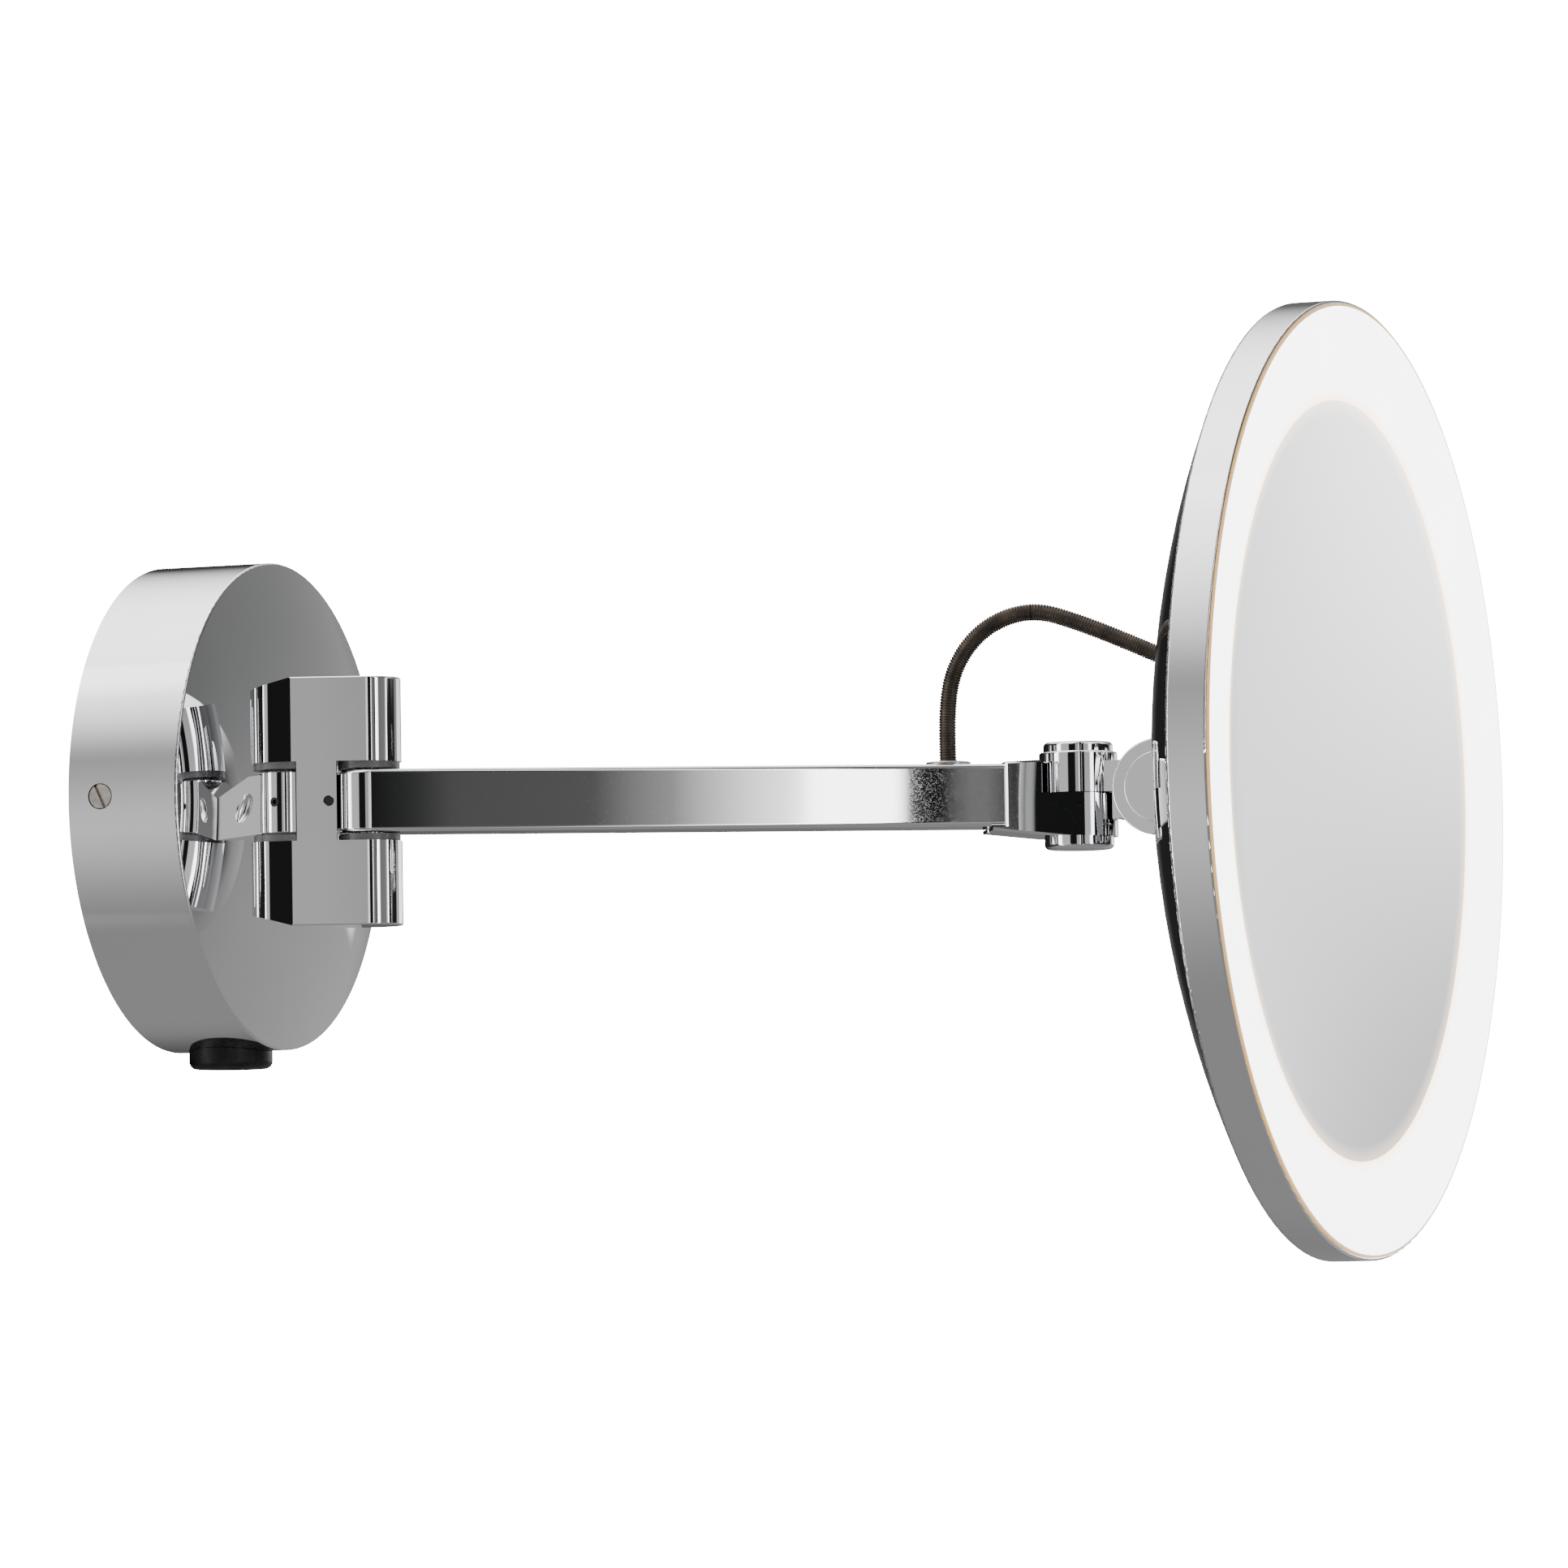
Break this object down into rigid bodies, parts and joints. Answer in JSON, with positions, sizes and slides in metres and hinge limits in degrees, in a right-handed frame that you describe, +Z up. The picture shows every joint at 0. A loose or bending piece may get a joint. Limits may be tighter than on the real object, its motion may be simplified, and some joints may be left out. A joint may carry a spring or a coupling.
{
  "type": "extendable shaving mirror",
  "caption": "Round lit shaving mirror with a chrome domed back on a folding arm with upright pivots, an elbow swivel and a tilt hinge, from a round wall box with a push switch.",
  "frame": {"origin": "centre of the two wall fixing holes, on the back of the wall plate", "axes": "+X out of the wall, +Z up, -Y to the side of the wall box that carries the bracket"},
  "size_m": [0.2744, 0.215, 0.215],
  "materials": {
    "chrome": "polished chrome plate",
    "zinc_steel": "zinc plated",
    "nickel_screw": "nickel plated",
    "dull_nickel": "satin nickel",
    "black_rubber": "satin",
    "black_plastic": "matte",
    "white_plastic": "matte",
    "button_grey": "satin",
    "dark_steel": "black oxide",
    "steel_pin": "ground",
    "nylon_washer": "matte",
    "bronze_conduit": "dark bronze wound steel",
    "mirror": "silvered glass",
    "lit_diffuser": "frosted, lit from behind",
    "amber_edge": "warm light line",
    "led_board": "white solder mask",
    "led_chip": "phosphor"
  },
  "bodies": {
    "wall_base": {"wall_plate": "zinc_steel", "wall_cover": "chrome", "cover_screws": "nickel_screw", "cable_grommet": "black_rubber", "driver_housing": "white_plastic", "driver_lid": "white_plastic", "driver_screws": "zinc_steel", "terminal_block": "white_plastic", "terminal_screws": "zinc_steel", "switch_body": "black_plastic", "switch_nut": "zinc_steel", "button_bezel": "black_rubber", "wall_bracket": "chrome", "bracket_screws": "zinc_steel", "bracket_grub_screw": "dark_steel", "wall_pivot_pin": "steel_pin"},
    "push_button": {"button_cap": "button_grey"},
    "link": {"link_body": "chrome", "link_washers": "nylon_washer", "link_grub_screw": "dark_steel", "arm_pivot_pin": "steel_pin"},
    "arm": {"arm_bar": "chrome", "arm_lead": "black_plastic", "elbow_block": "chrome", "elbow_pin": "steel_pin", "elbow_cap_bottom": "chrome", "conduit_ferrule": "dull_nickel", "ferrule_nut": "zinc_steel"},
    "swivel": {"swivel_knuckle": "chrome", "elbow_cap_top": "chrome", "elbow_washer": "nylon_washer", "conduit_lower": "bronze_conduit", "conduit_upper": "bronze_conduit"},
    "head": {"tilt_clevis": "chrome", "tilt_pin": "steel_pin", "tilt_caps": "chrome", "hinge_screws": "zinc_steel", "head_back": "chrome", "head_band": "chrome", "head_tray": "zinc_steel", "mirror_glass": "mirror", "mirror_pad": "white_plastic", "diffuser_ring": "lit_diffuser", "front_seal": "amber_edge", "led_board": "led_board", "led_chips": "led_chip", "head_ferrule": "dull_nickel"}
  },
  "joints": [
    {"name": "button_push", "type": "slide", "parent": "wall_base", "child": "push_button", "axis": [0, 0, 1], "range_m": [0, 0.0015], "stiffness_N_per_m": 600},
    {"name": "wall_swing", "type": "hinge", "parent": "wall_base", "child": "link", "pos_m": [0.0468, -0.04, -0.0022], "axis": [0, 0, 1], "range_deg": [-65, 25]},
    {"name": "arm_swing", "type": "hinge", "parent": "link", "child": "arm", "pos_m": [0.06465, -0.0335, -0.0022], "axis": [0, 0, 1], "range_deg": [-48, 32]},
    {"name": "elbow_swivel", "type": "hinge", "parent": "arm", "child": "swivel", "pos_m": [0.20681, 0.04208, -0.0022], "axis": [0, 0, 1], "range_deg": [-32, 88], "deforming": ["conduit_lower", "conduit_upper"]},
    {"name": "head_tilt", "type": "hinge", "parent": "swivel", "child": "head", "pos_m": [0.22881, 0.04208, -0.0012], "axis": [0, 1, 0], "range_deg": [-30, 30], "deforming": ["conduit_upper"]}
  ]
}
